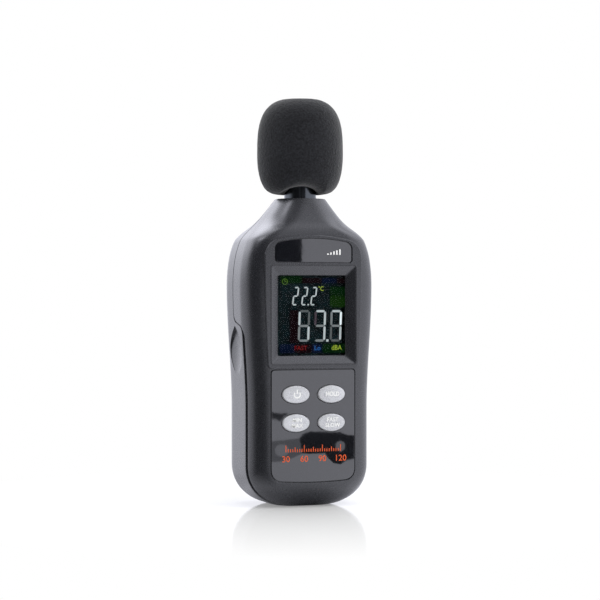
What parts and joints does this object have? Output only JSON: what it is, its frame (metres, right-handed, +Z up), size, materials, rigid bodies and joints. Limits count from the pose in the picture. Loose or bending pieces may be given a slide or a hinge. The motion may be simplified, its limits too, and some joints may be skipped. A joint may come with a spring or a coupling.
{
  "type": "sound level meter",
  "caption": "Handheld sound level meter with a foam windscreen, colour display, oval buttons and a rear battery door.",
  "frame": {"origin": "middle of the overall outline, on the flat of the base that the meter stands on", "axes": "+Z up towards the microphone, -Y out of the display, +X to the right as the display is read"},
  "size_m": [0.0552, 0.0348, 0.1619],
  "materials": {
    "shell": "satin moulded ABS, fine spark texture",
    "gloss_panel": "high-gloss printed sheet",
    "windscreen_foam": "open-cell polyurethane foam",
    "microphone_tube": "satin black tube",
    "buttons": "silver lacquer with fine flake",
    "window": "clear polished acrylic",
    "lcd": "dark colour display glass",
    "backlight": "white diffuser",
    "black_plastic": "moulded black plastic",
    "rubber": "soft black elastomer",
    "board": "green solder mask on glass epoxy",
    "chip": "moulded epoxy",
    "steel": "nickel-plated steel",
    "blue_plastic": "moulded blue plastic",
    "cells": "printed film sleeve over a steel can",
    "red_lead": "PVC insulation"
  },
  "bodies": {
    "case": {"microphone_tube": "microphone_tube", "front_shell": "shell", "rear_shell": "shell", "nameplate": "gloss_panel", "button_panel": "gloss_panel", "display_window": "window", "lcd_panel": "lcd", "backlight": "backlight", "display_frame": "black_plastic", "contact_strip_upper": "rubber", "contact_strip_lower": "rubber", "microphone_boot": "rubber", "main_board": "board", "controller_chip": "chip", "amplifier_chip": "chip", "crystal": "steel", "capacitor": "black_plastic", "calibration_trimmer": "blue_plastic", "temperature_sensor": "chip", "microphone_grille": "steel", "microphone_capsule": "steel", "microphone_lead_red": "red_lead", "microphone_lead_black": "black_plastic", "battery_lead_red": "red_lead", "battery_lead_black": "black_plastic", "contact_positive": "steel", "contact_bridge_upper": "steel", "contact_bridge_lower": "steel", "contact_negative": "steel", "switch_power": "black_plastic", "switch_hold": "black_plastic", "switch_min_max": "black_plastic", "switch_fast_slow": "black_plastic", "case_screw_1": "steel", "case_screw_2": "steel", "case_screw_3": "steel", "case_screw_4": "steel", "board_screw_1": "steel", "board_screw_2": "steel", "cell_1": "cells", "cell_2": "cells", "cell_3": "cells"},
    "windscreen": {"windscreen_foam": "windscreen_foam"},
    "battery_door": {"battery_door": "shell"},
    "button_power": {"button_power": "buttons", "plunger_power": "black_plastic"},
    "button_hold": {"button_hold": "buttons", "plunger_hold": "black_plastic"},
    "button_min_max": {"button_min_max": "buttons", "plunger_min_max": "black_plastic"},
    "button_fast_slow": {"button_fast_slow": "buttons", "plunger_fast_slow": "black_plastic"}
  },
  "joints": [
    {"name": "windscreen_pull", "type": "slide", "parent": "case", "child": "windscreen", "axis": [0, 0, 1], "range_m": [0, 0.03]},
    {"name": "battery_door_hinge", "type": "hinge", "parent": "case", "child": "battery_door", "pos_m": [0, 0.01645, 0.0128], "axis": [-1, 0, 0], "range_deg": [0, 70]},
    {"name": "button_power_press", "type": "slide", "parent": "case", "child": "button_power", "axis": [0, 1, 0], "range_m": [0, 0.0005], "stiffness_N_per_m": 1200},
    {"name": "button_hold_press", "type": "slide", "parent": "case", "child": "button_hold", "axis": [0, 1, 0], "range_m": [0, 0.0005], "stiffness_N_per_m": 1200},
    {"name": "button_min_max_press", "type": "slide", "parent": "case", "child": "button_min_max", "axis": [0, 1, 0], "range_m": [0, 0.0005], "stiffness_N_per_m": 1200},
    {"name": "button_fast_slow_press", "type": "slide", "parent": "case", "child": "button_fast_slow", "axis": [0, 1, 0], "range_m": [0, 0.0005], "stiffness_N_per_m": 1200}
  ]
}
